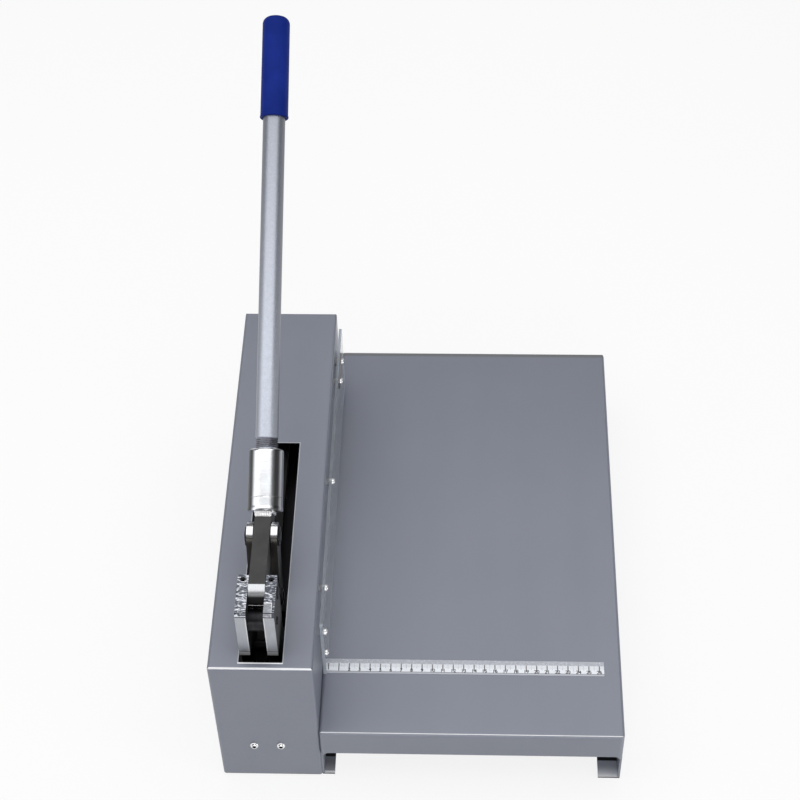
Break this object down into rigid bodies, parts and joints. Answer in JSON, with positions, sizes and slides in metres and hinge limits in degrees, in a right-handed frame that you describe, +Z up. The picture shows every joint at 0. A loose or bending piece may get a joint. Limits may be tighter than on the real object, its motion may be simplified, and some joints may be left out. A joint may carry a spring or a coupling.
{
  "type": "manual sheet shear",
  "caption": "Bench shear with a sheet-metal cover, a work table with a ruler, a clear guard, and a long hand lever that drives a raked blade through links and a ram.",
  "frame": {"origin": "on the floor below the middle of the cover, which is the middle of the base plate's underside", "axes": "+X from the cover towards the work table, +Y from the operator's end to the back, +Z up"},
  "size_m": [0.383, 0.5467, 0.502],
  "materials": {
    "grey_paint": "satin silver-grey paint",
    "sawn_steel": "sawn, light",
    "dark_steel": "mill scale, oiled",
    "bright_steel": "bright zinc plate",
    "ground_steel": "ground",
    "turned_steel": "turned and polished",
    "zinc_pipe": "zinc plated",
    "spring_steel": "drawn wire",
    "blue_vinyl": "dipped vinyl, satin",
    "clear_sheet": "clear acrylic",
    "ruler_white": "printed strip"
  },
  "bodies": {
    "frame": {"base_plate": "dark_steel", "left_front_upright": "sawn_steel", "right_front_upright": "sawn_steel", "left_rear_upright": "sawn_steel", "right_rear_upright": "sawn_steel", "front_guide_bar": "dark_steel", "rear_guide_bar": "dark_steel", "guide_bar_screws": "bright_steel", "base_screws": "bright_steel", "tie_spacer": "dark_steel", "tie_pin": "bright_steel", "stop_pins": "bright_steel", "bed_beam": "dark_steel", "lower_blade": "ground_steel", "lower_blade_screws": "dark_steel", "cover": "grey_paint", "cover_screws": "bright_steel", "table": "grey_paint", "left_table_foot": "grey_paint", "right_table_foot": "grey_paint", "table_screws": "bright_steel", "ruler": "ruler_white", "ruler_rivets": "bright_steel", "guard": "clear_sheet", "guard_spacers": "bright_steel", "guard_screws": "bright_steel", "guard_strap": "bright_steel", "fulcrum_pin": "bright_steel", "pin_lock_screws": "dark_steel", "front_spring_rod": "bright_steel", "rear_spring_rod": "bright_steel", "front_return_spring": "spring_steel", "rear_return_spring": "spring_steel"},
    "lever": {"lever_arm": "dark_steel", "lever_socket": "turned_steel", "lever_pipe": "zinc_pipe", "lever_grip": "blue_vinyl", "link_pin": "bright_steel", "link_pin_clips": "spring_steel"},
    "links": {"left_link": "dark_steel", "right_link": "dark_steel"},
    "ram": {"ram_beam": "dark_steel", "upper_blade": "ground_steel", "upper_blade_screws": "dark_steel", "ram_pin_shaft": "bright_steel", "ram_pin_clips": "spring_steel"}
  },
  "joints": [
    {"name": "lever_swing", "type": "hinge", "parent": "frame", "child": "lever", "pos_m": [-0.0015, -0.173, 0.2345], "axis": [-1, 0, 0], "range_deg": [0, 29.5]},
    {"name": "link_swing", "type": "hinge", "parent": "lever", "child": "links", "pos_m": [-0.0015, -0.1095, 0.2345], "axis": [1, 0, 0], "range_deg": [0, 36]},
    {"name": "ram_slide", "type": "slide", "parent": "frame", "child": "ram", "axis": [0, 0, -1], "range_m": [0, 0.0333], "stiffness_N_per_m": 3000, "springref_m": -0.06, "deforming": ["front_return_spring", "rear_return_spring"]}
  ],
  "couplings": [
    {"joint": "link_swing", "follows": "lever_swing", "ratio": 1.195},
    {"joint": "ram_slide", "follows": "lever_swing", "m_per_rad": 0.0645}
  ]
}
